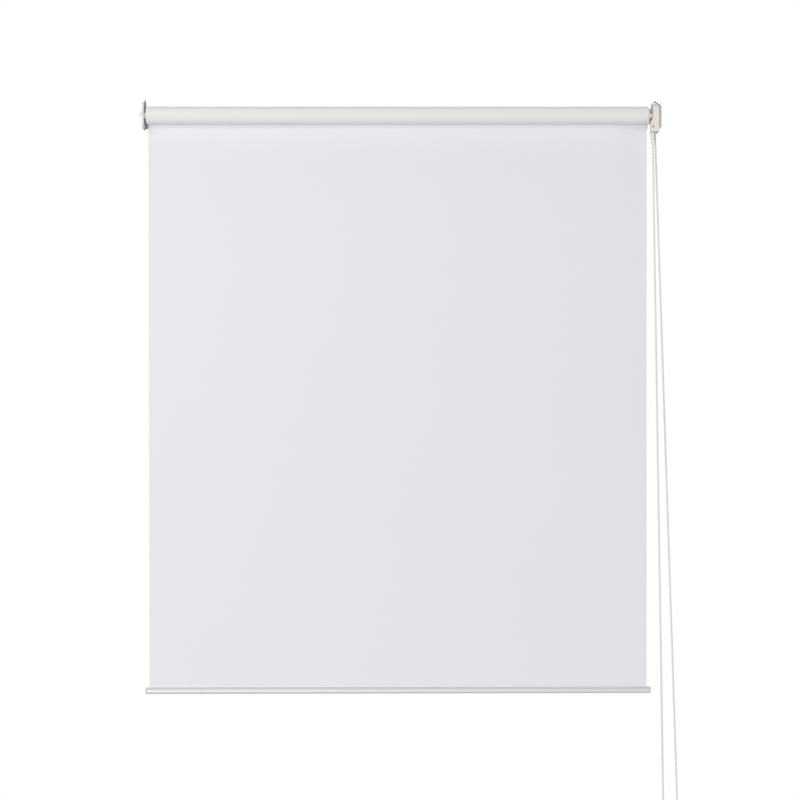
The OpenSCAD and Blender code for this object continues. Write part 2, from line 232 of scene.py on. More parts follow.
# ---- outlines ----


def arc(centre, radius, start, end, steps):
    """Points on an arc, its angles in degrees."""
    return [(centre[0] + radius * math.cos(math.radians(start + (end - start) * i / steps)),
             centre[1] + radius * math.sin(math.radians(start + (end - start) * i / steps)))
            for i in range(steps + 1)]


def circle(centre, radius, steps=32):
    return arc(centre, radius, 0, 360, steps)[:-1]


def left_outline(grow=0.0):
    """Side outline of the left bracket, or of its cover when grown."""
    if grow:
        return [(0, -26), (0, 34), (-10, 34), (-38, 27), (-38, -21), (-32, -26)]
    return [(0, -24), (0, 16), (0, 32), (-9.6, 32), (-36, 25.4), (-36, -20), (-31.2, -24)]


RIGHT_OUTLINE = [(0, -24), (0, 33), (-38, 21), (-38, -18), (-33, -24)]


def guard_outline(housing, axis_y, inset=0.0):
    """Drum with the chain guide below it, in Y and Z."""
    radius = mm(housing.drum_radius) - inset
    low = inset - mm(housing.guide)
    return arc((axis_y, 0), radius, 0, 180, 36) + [(axis_y - radius, low), (axis_y + radius, low)]


# ---- bmesh helpers ----


def join_ring(bm, verts):
    """Edges that join the points into a closed ring."""
    return [bm.edges.new((verts[i - 1], verts[i])) for i in range(len(verts))]


def draw_loops(bm, loops, place):
    """Draws closed outlines and returns their edges."""
    edges = []
    for loop in loops:
        edges += join_ring(bm, [bm.verts.new(place(u, v)) for u, v in loop])
    return edges


def fill_outlines(bm, loops, place):
    """Fills the space between closed outlines with flat faces and returns them."""
    edges = draw_loops(bm, loops, place)
    filled = bmesh.ops.triangle_fill(bm, edges=edges, use_beauty=True, use_dissolve=True)
    return [g for g in filled["geom"] if isinstance(g, bmesh.types.BMFace)]


def prism(bm, loops, place, sweep):
    """Sweeps filled outlines into a closed solid."""
    faces = fill_outlines(bm, loops, place)
    swept = bmesh.ops.extrude_face_region(bm, geom=faces)
    moved = [g for g in swept["geom"] if isinstance(g, bmesh.types.BMVert)]
    bmesh.ops.translate(bm, verts=moved, vec=Vector(sweep))


def turned(bm, profile, centre, axis, steps=48):
    """Turns a closed profile of (radius, height) points once round an axis into a solid."""
    axis = Vector(axis)
    out = Vector((0, 0, -1)) if axis.x else Vector((1, 0, 0))
    verts = [bm.verts.new(centre + out * r + axis * h) for r, h in profile]
    bmesh.ops.spin(bm, geom=verts + join_ring(bm, verts), cent=centre, axis=axis, dvec=(0, 0, 0),
                   angle=2 * math.pi, steps=steps, use_merge=True)


def drop_faces(bm, unwanted):
    """Removes the faces that the test picks, and what only they held."""
    bm.normal_update()
    bmesh.ops.delete(bm, geom=[f for f in bm.faces if unwanted(f)], context="FACES")


def open_holes(bm, wall, holes, place):
    """Cuts outlines out of the one flat face that the test picks."""
    bm.normal_update()
    face = next(f for f in bm.faces if wall(f))
    edges = list(face.edges)
    bmesh.ops.delete(bm, geom=[face], context="FACES_ONLY")
    edges += draw_loops(bm, holes, place)
    bmesh.ops.triangle_fill(bm, edges=edges, use_beauty=True, use_dissolve=True)


def join_flat(bm, chosen):
    """Joins the flat neighbouring faces that the test picks."""
    bm.normal_update()
    bmesh.ops.dissolve_faces(bm, faces=[f for f in bm.faces if chosen(f)], use_verts=True)


def cut_at(bm, point, normal):
    """Draws a cut all round where a plane meets the faces."""
    bmesh.ops.bisect_plane(bm, geom=bm.verts[:] + bm.edges[:] + bm.faces[:], dist=0.0001,
                           plane_co=point, plane_no=normal)


def turn_out(bm, direction):
    """Makes all faces point out, judged by the largest face that looks along a direction."""
    bmesh.ops.recalc_face_normals(bm, faces=bm.faces[:])
    bm.normal_update()
    way = Vector(direction)
    flat = [f for f in bm.faces if abs(f.normal.dot(way)) > 0.99]
    if max(flat, key=lambda f: f.calc_area()).normal.dot(way) < 0:
        bmesh.ops.reverse_faces(bm, faces=bm.faces[:])


def round_edges(bm, edges, width, segments):
    bmesh.ops.bevel(bm, geom=edges, offset=width, offset_type="OFFSET", segments=segments,
                    profile=0.5, affect="EDGES", clamp_overlap=True, material=-1)


def finish_piece(bm, name, materials, body, stands_for, closed=True):
    """Turns the drawing into a named piece that rides on a body."""
    bmesh.ops.remove_doubles(bm, verts=bm.verts[:], dist=0.0005)
    if closed:
        bmesh.ops.recalc_face_normals(bm, faces=bm.faces[:])
    bmesh.ops.scale(bm, vec=(MM, MM, MM), verts=bm.verts[:])
    mesh = bpy.data.meshes.new(name)
    bm.to_mesh(mesh)
    bm.free()
    mesh.shade_smooth()
    mesh.set_sharp_from_angle(angle=math.radians(38))
    for material in materials:
        mesh.materials.append(material)
    piece = bpy.data.objects.new(name, mesh)
    bpy.context.scene.collection.objects.link(piece)
    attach(piece, body)
    if stands_for:
        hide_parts(*stands_for)
    return piece


def soften(piece, width, segments=3, limit=32.0):
    """Rounds a piece's sharp edges, leaving its flat faces flat."""
    edge = piece.modifiers.new("softened edges", "BEVEL")
    edge.width = width * MM
    edge.segments = segments
    edge.limit_method = "ANGLE"
    edge.angle_limit = math.radians(limit)
    edge.harden_normals = True


def thicken(piece, thickness):
    """Gives a skin its wall, inwards."""
    wall = piece.modifiers.new("wall", "SOLIDIFY")
    wall.thickness = thickness * MM
    wall.offset = -1
    wall.use_even_offset = True


# ---- finishes ----


class Finish:
    """A material whose surface nodes are added one at a time."""

    def __init__(self, name, roughness, metallic=0.0):
        self.material = bpy.data.materials.new(name)
        self.material.use_nodes = True
        self.tree = self.material.node_tree
        self.shader = self.tree.nodes["Principled BSDF"]
        self.shader.inputs["Roughness"].default_value = roughness
        self.shader.inputs["Metallic"].default_value = metallic
        self.height = None

    def node(self, kind, **values):
        made = self.tree.nodes.new(kind)
        for key, value in values.items():
            if hasattr(made, key):
                setattr(made, key, value)
            else:
                made.inputs[key.replace("_", " ")].default_value = value
        return made

    def link(self, source, target):
        self.tree.links.new(source, target)

    def place(self, kind, scale):
        """Coordinates stretched by a scale along each axis."""
        coordinates = self.node("ShaderNodeTexCoord")
        mapping = self.node("ShaderNodeMapping", Scale=scale)
        self.link(coordinates.outputs[kind], mapping.inputs["Vector"])
        return mapping.outputs["Vector"]

    def grain(self, vector, scale, detail=3.0):
        speckle = self.node("ShaderNodeTexNoise", Scale=scale, Detail=detail)
        self.link(vector, speckle.inputs["Vector"])
        return speckle.outputs["Fac"]

    def spread(self, source, low, high):
        """Spreads a soft pattern between two values."""
        ramp = self.node("ShaderNodeMapRange")
        for socket, value in (("From Min", 0.3), ("From Max", 0.7), ("To Min", low), ("To Max", high)):
            ramp.inputs[socket].default_value = value
        self.link(source, ramp.inputs["Value"])
        return ramp.outputs["Result"]

    def colour(self, pattern, base, change):
        """Shifts the base colour darker and lighter with a pattern."""
        mix = self.node("ShaderNodeMix", data_type="RGBA")
        mix.inputs[6].default_value = tuple(c * (1 - change) for c in base) + (1,)
        mix.inputs[7].default_value = tuple(min(1, c * (1 + change)) for c in base) + (1,)
        self.link(pattern, mix.inputs[0])
        self.link(mix.outputs[2], self.shader.inputs["Base Color"])

    def roughness(self, pattern, low, high):
        self.link(self.spread(pattern, low, high), self.shader.inputs["Roughness"])

    def relief(self, pattern, depth, strength):
        """Adds raised and sunk surface detail on top of any that is there."""
        bump = self.node("ShaderNodeBump", Strength=strength, Distance=depth * MM)
        self.link(pattern, bump.inputs["Height"])
        if self.height:
            self.link(self.height, bump.inputs["Normal"])
        self.height = bump.outputs["Normal"]
        self.link(self.height, self.shader.inputs["Normal"])


def moulded(name, base, roughness=0.42):
    """Moulded plastic: faint mottling and a fine spark-eroded texture."""
    finish = Finish(name, roughness)
    where = finish.place("Object", (1, 1, 1))
    finish.colour(finish.grain(where, 60, 2), base, 0.022)
    finish.roughness(finish.grain(where, 240, 2), roughness - 0.06, roughness + 0.07)
    finish.relief(finish.grain(where, 2600, 2), 0.03, 0.25)
    finish.shader.inputs["Specular IOR Level"].default_value = 0.45
    finish.shader.inputs["Subsurface Weight"].default_value = 0.04
    finish.shader.inputs["Subsurface Radius"].default_value = (0.002, 0.002, 0.002)
    return finish.material


def plated(name, base):
    """Zinc plated sheet steel: soft spangle and fine rolling lines."""
    finish = Finish(name, 0.4, metallic=0.2)
    spangle = finish.grain(finish.place("Object", (1, 1, 1)), 420, 3)
    finish.colour(spangle, base, 0.07)
    finish.roughness(spangle, 0.28, 0.46)
    finish.relief(finish.grain(finish.place("Object", (300, 300, 4000)), 1, 2), 0.02, 0.25)
    return finish.material


def drawn_metal(name, base, metallic, roughness):
    """Extruded metal: long faint draw lines along its length."""
    finish = Finish(name, roughness, metallic)
    lines = finish.grain(finish.place("Object", (3, 900, 900)), 1, 3)
    patches = finish.grain(finish.place("Object", (1, 1, 1)), 14, 2)
    finish.colour(patches, base, 0.012)
    finish.roughness(lines, roughness - 0.05, roughness + 0.06)
    finish.relief(lines, 0.02, 0.3)
    return finish.material


def woven(name, base, thread, depth, roughness):
    """Coated cloth: two crossing sets of threads, laid by the piece's own cloth map, with slubs."""
    finish = Finish(name, roughness)
    cloth = finish.place("UV", (1, 1, 1))
    bands = []
    for direction in ("X", "Y"):
        # One band of a wave texture is pi / 10 units wide at scale 1
        band = finish.node("ShaderNodeTexWave", bands_direction=direction,
                           Scale=math.pi / 10 / thread, Distortion=1.2, Detail_Scale=2.0)
        finish.link(cloth, band.inputs["Vector"])
        bands.append(band.outputs["Fac"])
    crossing = finish.node("ShaderNodeMath", operation="MAXIMUM")
    finish.link(bands[0], crossing.inputs[0])
    finish.link(bands[1], crossing.inputs[1])
    slubs = finish.grain(finish.place("UV", (60, 900, 1)), 1, 2)
    clouds = finish.grain(cloth, 3.5, 3)
    blend = finish.node("ShaderNodeMix", data_type="FLOAT")
    blend.inputs[0].default_value = 0.4
    finish.link(clouds, blend.inputs[2])
    finish.link(slubs, blend.inputs[3])
    finish.colour(blend.outputs[0], base, 0.009)
    finish.relief(crossing.outputs[0], depth, 0.35)
    finish.relief(slubs, depth, 0.15)
    finish.shader.inputs["Sheen Weight"].default_value = 0.06
    finish.shader.inputs["Sheen Roughness"].default_value = 0.5
    finish.shader.inputs["Specular IOR Level"].default_value = 0.25
    return finish.material


def shared(name, make, *values):
    """A finish that several pieces share is made once."""
    return bpy.data.materials.get(name) or make(name, *values)


def cloth_front(scene):
    cloth = scene.blind_cloth
    return shared("Cloth room side", woven, cloth.front, cloth.thread, 0.05, 0.78)


def cloth_back(scene):
    cloth = scene.blind_cloth
    return shared("Cloth coated side", woven, cloth.back, cloth.thread, 0.03, 0.62)


def steel(scene):
    return shared("Plated steel", plated, scene.blind_bracket.steel)


def cover_plastic(scene):
    return shared("Cover plastic", moulded, scene.blind_bracket.cover_colour)


def housing_plastic(scene):
    return shared("Housing plastic", moulded, scene.blind_housing.shell)


def inner_plastic(scene):
    return shared("Inner plastic", moulded, scene.blind_housing.inner, 0.36)


def chain_plastic(scene):
    return shared("Chain plastic", moulded, scene.blind_chain.colour, 0.34)


def cap_plastic(scene):
    return shared("Cap plastic", moulded, scene.blind_bar.cap)


# ---- operators ----


class BLIND_OT_stage(bpy.types.Operator):
    """Sets up the camera, the floor and the soft studio light"""
    bl_idname = "blind.stage"
    bl_label = "Stage"

    def execute(self, context):
        scene = context.scene
        stage = scene.blind_stage
        camera = bpy.data.objects.new("camera", bpy.data.cameras.new("camera"))
        camera.data.lens = CAMERA_LENS
        camera.data.sensor_width = 36
        camera.location = CAMERA_AT
        aim = Euler((math.pi / 2 - CAMERA_DIP, 0, CAMERA_TURN)).to_matrix()
        camera.rotation_euler = (aim @ Matrix.Rotation(CAMERA_ROLL, 3, "Z")).to_euler()
        scene.collection.objects.link(camera)
        scene.camera = camera
        scene.view_settings.view_transform = "Standard"

        self.lay_floor(scene, stage)
        self.hang_key(scene, stage.key)
        for name, strength, towards, spread in (
                ("front light", stage.front, (0.22, 1, 0.16), 16),
                ("overhead light", stage.overhead, (0, 0.12, -1), 30),
                ("bounce light", stage.bounce, (0, 0.2, 1), 40),
                ("side light", stage.side, (-1, 0.75, 0.1), 30),
                ("back light", stage.behind, (0, -1, -0.45), 30)):
            self.hang_distant(scene, name, strength, towards, spread)
        self.fill_room(scene, stage)
        return {"FINISHED"}

    def lay_floor(self, scene, stage):
        bm = bmesh.new()
        bmesh.ops.create_circle(bm, cap_ends=True, segments=96, radius=1.4,
                                matrix=Matrix.Translation((0, 0, stage.floor_level)))
        mesh = bpy.data.meshes.new("floor")
        bm.to_mesh(mesh)
        bm.free()
        mesh.materials.append(moulded("Floor paint", stage.floor, 0.7))
        floor = bpy.data.objects.new("floor", mesh)
        floor.visible_shadow = False
        scene.collection.objects.link(floor)

    def hang_key(self, scene, power):
        """Large soft light at the upper left of the room."""
        light = bpy.data.lights.new("key light", "AREA")
        light.energy = power
        light.shape = "DISK"
        light.size = 1.6
        lamp = bpy.data.objects.new("key light", light)
        lamp.location = (-1.9, -2.6, 0.5)
        aim = Vector((-0.3, 0, -0.4)) - lamp.location
        lamp.rotation_euler = aim.to_track_quat("-Z", "Y").to_euler()
        scene.collection.objects.link(lamp)

    def hang_distant(self, scene, name, strength, towards, spread):
        """Even light from far away, softened over an angle in degrees."""
        light = bpy.data.lights.new(name, "SUN")
        light.energy = strength
        light.angle = math.radians(spread)
        lamp = bpy.data.objects.new(name, light)
        lamp.rotation_euler = Vector(towards).to_track_quat("-Z", "Y").to_euler()
        scene.collection.objects.link(lamp)

    def fill_room(self, scene, stage):
        """Even light all round, seen as plain white behind the object."""
        world = bpy.data.worlds.new("studio")
        world.use_nodes = True
        tree = world.node_tree
        even = tree.nodes["Background"]
        even.inputs["Color"].default_value = (0.98, 0.98, 1.0, 1)
        even.inputs["Strength"].default_value = stage.ambient
        seen = tree.nodes.new("ShaderNodeBackground")
        seen.inputs["Color"].default_value = (1, 1, 1, 1)
        rays = tree.nodes.new("ShaderNodeLightPath")
        choice = tree.nodes.new("ShaderNodeMixShader")
        tree.links.new(rays.outputs["Is Camera Ray"], choice.inputs["Fac"])
        tree.links.new(even.outputs["Background"], choice.inputs[1])
        tree.links.new(seen.outputs["Background"], choice.inputs[2])
        tree.links.new(choice.outputs["Shader"], tree.nodes["World Output"].inputs["Surface"])
        scene.world = world


def chain_route(axis_y):
    """Closed route from the top of the chain wheel, down behind, round the hold-down and back."""
    centre = Vector((WHEEL_X, axis_y, 0))
    turns = 24

    def on_wheel(angle):
        return centre + WHEEL_PITCH_R * Vector((0, math.cos(angle), math.sin(angle)))

    def on_pulley(angle):
        return PULLEY_AT + PULLEY_PITCH_R * Vector((math.cos(angle), 0, math.sin(angle)))

    rear = [on_wheel(math.pi / 2 * (1 - k / turns)) for k in range(turns + 1)]
    below = [on_pulley(-math.pi * k / (2 * turns)) for k in range(2 * turns + 1)]
    front = [on_wheel(math.pi * (1 - k / (2 * turns))) for k in range(turns + 1)]
    rear_y = axis_y + WHEEL_PITCH_R
    front_y = axis_y - WHEEL_PITCH_R
    return (rear + [Vector((WHEEL_X, rear_y, STRAIGHT_Z)), rear_mouth(axis_y)] + below
            + [front_mouth(axis_y), Vector((WHEEL_X, front_y, STRAIGHT_Z))] + front)


def front_mouth(axis_y):
    return Vector((FRONT_MOUTH_X, axis_y - WHEEL_PITCH_R, MOUTH_Z))


def rear_mouth(axis_y):
    return Vector((REAR_MOUTH_X, axis_y + WHEEL_PITCH_R, MOUTH_Z))


def strand_down(axis_y):
    """Direction of the front strand, from the housing down to the hold-down."""
    low = PULLEY_AT - Vector((PULLEY_PITCH_R, 0, 0))
    return (low - front_mouth(axis_y)).normalized()


def evenly_spaced(route, pitch):
    """Points along a closed route at an even distance close to the pitch."""
    lengths = [(route[i + 1] - route[i]).length for i in range(len(route) - 1)]
    count = round(sum(lengths) / pitch)
    step = sum(lengths) / count
    points = []
    travelled = 0.0
    for start, end, run in zip(route, route[1:], lengths):
        while len(points) < count and len(points) * step <= travelled + run:
            points.append(start.lerp(end, (len(points) * step - travelled) / run))
        travelled += run
    return points


class BLIND_OT_chain(bpy.types.Operator):
    """Strings the endless bead chain over the chain wheel and round the hold-down pulley"""
    bl_idname = "blind.chain"
    bl_label = "Bead chain"

    def execute(self, context):
        scene = context.scene
        chain = scene.blind_chain
        axis_y = -mm(scene.blind_roller.axis_off)
        beads = evenly_spaced(chain_route(axis_y), mm(chain.pitch))
        if len(beads) < 12:
            raise RuntimeError("the bead pitch is too long for the chain")
        link = self.mould_link(chain)
        bm = bmesh.new()
        for i, bead in enumerate(beads):
            way = beads[(i + 1) % len(beads)] - bead
            placed = link.copy()
            placed.transform(Matrix.Translation(bead) @ way.to_track_quat("Z", "X").to_matrix().to_4x4())
            bm.from_mesh(placed)
            bpy.data.meshes.remove(placed)
        bpy.data.meshes.remove(link)
        piece = finish_piece(bm, "bead_chain_beads", [chain_plastic(scene)], "frame",
                             ["bead_chain"])
        return {"FINISHED"}

    def mould_link(self, chain):
        """One bead, a little longer than it is wide, with the cord up to the next bead."""
        bm = bmesh.new()
        bmesh.ops.create_uvsphere(bm, u_segments=10, v_segments=6, radius=mm(chain.bead) / 2)
        stretch = 1.14
        bmesh.ops.scale(bm, vec=(1, 1, stretch), verts=bm.verts[:])
        bmesh.ops.create_cone(bm, cap_ends=True, segments=6, radius1=mm(chain.cord) / 2,
                              radius2=mm(chain.cord) / 2, depth=mm(chain.pitch),
                              matrix=Matrix.Translation((0, 0, mm(chain.pitch) / 2)))
        link = bpy.data.meshes.new("link")
        bm.to_mesh(link)
        bm.free()
        return link


class BLIND_OT_connector(bpy.types.Operator):
    """Turns the tapered clip that joins the two ends of the chain"""
    bl_idname = "blind.connector"
    bl_label = "Chain connector"

    def execute(self, context):
        scene = context.scene
        axis_y = -mm(scene.blind_roller.axis_off)
        way = strand_down(axis_y)
        bore = 2.55
        profile = [(bore, 0), (3.3, 0), (3.75, 0.35), (4, 1.1), (4, 6.9), (3.7, 7.2), (3.7, 7.7),
                   (4, 8), (4, 15), (3.15, 22.3), (2.95, 23), (bore, 23)]
        gap = 1.2
        bm = bmesh.new()
        turned(bm, profile, Vector((0, 0, 0)), (0, 0, 1), steps=32)
        turn = way.to_track_quat("Z", "X").to_matrix()
        bmesh.ops.rotate(bm, verts=bm.verts[:], cent=(0, 0, 0), matrix=turn)
        bmesh.ops.translate(bm, verts=bm.verts[:], vec=front_mouth(axis_y) + gap * way)
        finish_piece(bm, "chain_connector_clip", [chain_plastic(scene)], "connector",
                     ["chain_connector"])
        return {"FINISHED"}


def lay_cloth_map(mesh, along):
    """Gives each face corner its place on the flat cloth, in metres; along is its second number."""
    cloth_map = mesh.uv_layers.new(name="cloth")
    for face in mesh.polygons:
        for corner in face.loop_indices:
            point = mesh.vertices[mesh.loops[corner].vertex_index].co
            cloth_map.data[corner].uv = (point.x, along(point, face.center))


class BLIND_OT_cloth(bpy.types.Operator):
    """Hangs the cloth between the roll and the bottom bar"""
    bl_idname = "blind.cloth"
    bl_label = "Hanging cloth"

    def execute(self, context):
        scene = context.scene
        cloth = scene.blind_cloth
        half, top = reach("fabric_panel", 1, 0), reach("fabric_panel", 1, 2)
        front, low = reach("fabric_panel", 0, 1), reach("fabric_panel", 0, 2)
        thickness = mm(cloth.thickness)
        drop = top - low
        stand = Matrix.Translation((0, front, low + drop / 2)) @ Matrix.Rotation(
            math.pi / 2, 4, "X") @ Matrix.Diagonal((half, drop / 2, 1, 1))
        bm = bmesh.new()
        bmesh.ops.create_grid(bm, x_segments=72, y_segments=84, size=1, matrix=stand)
        for vert in bm.verts:
            vert.co.y += mm(cloth.sway) * self.stray(vert.co.x / half, (vert.co.z - low) / drop)
        hem_top = reach("bottom_bar", 1, 2) + mm(cloth.hem)
        cut_at(bm, (0, 0, hem_top), (0, 0, 1))
        turn_out(bm, (0, -1, 0))
        bmesh.ops.solidify(bm, geom=bm.faces[:], thickness=thickness)
        bmesh.ops.recalc_face_normals(bm, faces=bm.faces[:])
        for face in bm.faces:
            in_hem = face.calc_center_median().z < hem_top
            face.material_index = 1 if face.normal.y > 0.5 else 2 if in_hem else 0
        hem = shared("Welded hem", moulded, cloth.front, 0.5)
        piece = finish_piece(bm, "cloth_panel", [cloth_front(scene), cloth_back(scene), hem],
                             "frame", ["fabric_panel"])
        lay_cloth_map(piece.data, lambda point, centre: point.z)
        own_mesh(piece)
        return {"FINISHED"}

    def stray(self, across, up):
        """Slow ripples that die out at the roll, and well above the bar so its slot stays clear."""
        still = 0.14
        free = (up - still) / (1 - still)
        held = math.sin(math.pi * min(1, max(0, free))) ** 1.2
        height = 1.6
        ripples = Vector((across * 2.2, up * 1.6, 0.3))
        return held * height * noise.noise(ripples)


class BLIND_OT_roll(bpy.types.Operator):
    """Winds the cloth that is left on the tube, layer on layer"""
    bl_idname = "blind.roll"
    bl_label = "Cloth roll"

    def execute(self, context):
        scene = context.scene
        cloth = scene.blind_cloth
        half = reach("fabric_roll", 1, 0)
        axis_y = -mm(scene.blind_roller.axis_off)
        inner = mm(scene.blind_roller.tube_radius)
        pitch = mm(cloth.thickness)
        rounds = cloth.layers - 0.75
        steps = round(rounds * 56)
        air = 0.03
        leaving = 0.25
        panel_gap = reach("fabric_panel", 0, 1) - axis_y - (inner + pitch * rounds)
        outside, inside = [], []
        for k in range(steps + 1):
            turn = rounds * k / steps
            angle = math.pi / 2 - 2 * math.pi * turn
            lean = panel_gap * max(0.0, 1 - (rounds - turn) / leaving) ** 2
            radius = inner + air / 2 + pitch * turn + lean
            spoke = Vector((math.cos(angle), math.sin(angle)))
            inside.append(tuple(Vector((axis_y, 0)) + spoke * radius))
            outside.append(tuple(Vector((axis_y, 0)) + spoke * (radius + pitch - air)))
        bm = bmesh.new()
        prism(bm, [outside + inside[::-1]], facing_x(-half), (2 * half, 0, 0))
        piece = finish_piece(bm, "cloth_roll", [cloth_back(scene)], "roller", ["fabric_roll"])

        def along(point, centre):
            y = -scene.blind_roller.axis_off
            angle = math.atan2(point.z, point.y - y)
            middle = math.atan2(centre.z, centre.y - y)
            angle += 2 * math.pi * round((middle - angle) / (2 * math.pi))
            return angle * (inner + pitch) * MM

        lay_cloth_map(piece.data, along)
        return {"FINISHED"}


class BLIND_OT_brackets(bpy.types.Operator):
    """Folds the two steel brackets"""
    bl_idname = "blind.brackets"
    bl_label = "Brackets"

    def execute(self, context):
        scene = context.scene
        bracket = scene.blind_bracket
        axis_y = -mm(scene.blind_roller.axis_off)
        hole = mm(bracket.screw_hole)
        self.fold_left(scene, bracket, axis_y, hole)
        self.fold_right(scene, bracket, axis_y, hole)
        return {"FINISHED"}

    def fold(self, bm, bracket, edge_x, side):
        """Rounds the edge where the two legs meet, with the faces turned outwards first."""
        bmesh.ops.remove_doubles(bm, verts=bm.verts[:], dist=0.001)
        turn_out(bm, (side, 0, 0))
        crease = [e for e in bm.edges if len(e.link_faces) == 2
                  and all(abs(v.co.x - edge_x) < TOUCH and abs(v.co.y) < TOUCH for v in e.verts)]
        round_edges(bm, crease, mm(bracket.bend), 4)

    def toe(self, side):
        """Cut corners at the end of a wall flange, from its top down."""
        end, back = side * FLANGE_TOE, side * (FLANGE_TOE + CORNER_CUT)
        return [(back, FLANGE_TOP), (end, FLANGE_TOP - CORNER_CUT),
                (end, FLANGE_LOW + CORNER_CUT), (back, FLANGE_LOW)]

    def screw_holes(self, side, hole):
        return [circle((side * SCREW_X, z), hole, 24) for z in (-SCREW_Z, SCREW_Z)]

    def fold_left(self, scene, bracket, axis_y, hole):
        out = LEFT_PLATE_IN - mm(bracket.plate)
        bush_hole = 5.5
        bm = bmesh.new()
        fill_outlines(bm, [left_outline(), circle((axis_y, 0), bush_hole)], facing_x(out))
        flange = [(out, FLANGE_TOP), (out, FLANGE_LOW)] + self.toe(-1)[::-1]
        fill_outlines(bm, [flange] + self.screw_holes(-1, hole), facing_y(0))
        self.fold(bm, bracket, out, -1)
        piece = finish_piece(bm, "bracket_left_plate", [steel(scene)], "frame", ["left_bracket"],
                             closed=False)
        thicken(piece, mm(bracket.plate))
        soften(piece, 0.3, 2)
        root = LEFT_PLATE_IN - 0.5
        bm = bmesh.new()
        hook = [(root, 0), (root, HOOK_RISE), (out, HOOK_RISE), (out - HOOK_REACH, 0)]
        prism(bm, [hook], facing_y(HOOK_Y), (0, HOOK_WIDTH, 0))
        hook_piece = finish_piece(bm, "bracket_left_hook", [steel(scene)], "frame", [])
        soften(hook_piece, 0.3, 2)

    def fold_right(self, scene, bracket, axis_y, hole):
        out = RIGHT_PLATE_IN + mm(bracket.plate)
        bm = bmesh.new()
        pegs = [circle((axis_y, z), PEG_R, 16) for z in (-PEG_Z, PEG_Z)]
        fill_outlines(bm, [RIGHT_OUTLINE, circle((axis_y, 0), NECK_R)] + pegs, facing_x(out))
        slot_x, slot_r, slot_z = 504.8, 2.5, -16.7
        slot = ([(slot_x - slot_r, FLANGE_LOW)] + arc((slot_x, slot_z), slot_r, 180, 0, 12)
                + [(slot_x + slot_r, FLANGE_LOW)])
        lug_top, lug_side = 33, 513
        lug = [(lug_side + CORNER_CUT, lug_top), (lug_side, lug_top - CORNER_CUT),
               (lug_side, FLANGE_TOP)]
        flange = [(out, FLANGE_LOW), (out, lug_top)] + lug + self.toe(1) + slot
        fill_outlines(bm, [flange] + self.screw_holes(1, hole), facing_y(0))
        self.fold(bm, bracket, out, 1)
        # Painted light: the plate's lug above the flange top takes the lighter cover finish as a painted
        # highlight for the lit top of the steel flange, while the flange below, in the roll's shade,
        # keeps the darker steel
        cut_at(bm, (0, 0, FLANGE_TOP), (0, 0, 1))
        for face in bm.faces:
            if abs(face.normal.y) > 0.9 and face.calc_center_median().z > FLANGE_TOP:
                face.material_index = 1
        piece = finish_piece(bm, "bracket_right_plate", [steel(scene), cover_plastic(scene)],
                             "frame", ["right_bracket"], closed=False)
        thicken(piece, mm(bracket.plate))
        soften(piece, 0.3, 2)


class BLIND_OT_covers(bpy.types.Operator):
    """Moulds the covers that go outside the two brackets"""
    bl_idname = "blind.covers"
    bl_label = "Bracket covers"

    def execute(self, context):
        scene = context.scene
        wall = mm(scene.blind_bracket.cover)
        face_x = LEFT_PLATE_IN - mm(scene.blind_bracket.plate) - wall
        play = 0.3
        near, far = HOOK_Y - play, HOOK_Y + HOOK_WIDTH + play
        bm = bmesh.new()
        window = [(near, -play), (far, -play), (far, HOOK_RISE + play), (near, HOOK_RISE + play)]
        prism(bm, [left_outline(2), window], facing_x(face_x), (LEFT_PLATE_IN - face_x, 0, 0))
        bmesh.ops.recalc_face_normals(bm, faces=bm.faces[:])

        def open_or_tunnel(face):
            """The side towards the plate, the side on the wall, and the walls of the window."""
            centre = face.calc_center_median()
            in_window = (near - TOUCH < centre.y < far + TOUCH
                         and -play - TOUCH < centre.z < HOOK_RISE + play + TOUCH)
            return (centre.x > LEFT_PLATE_IN - TOUCH or centre.y > -TOUCH
                    or (abs(face.normal.x) < 0.5 and in_window))

        drop_faces(bm, open_or_tunnel)
        turn_out(bm, (-1, 0, 0))
        tray = finish_piece(bm, "cover_left_tray", [cover_plastic(scene)], "frame", ["left_cover"],
                            closed=False)
        thicken(tray, wall)
        soften(tray, 0.7)
        bm = bmesh.new()
        prism(bm, [RIGHT_OUTLINE], facing_x(RIGHT_PLATE_IN + wall), (wall, 0, 0))
        cap = finish_piece(bm, "cover_right_cap", [cover_plastic(scene)], "frame", ["right_cover"])
        soften(cap, 0.7)
        return {"FINISHED"}


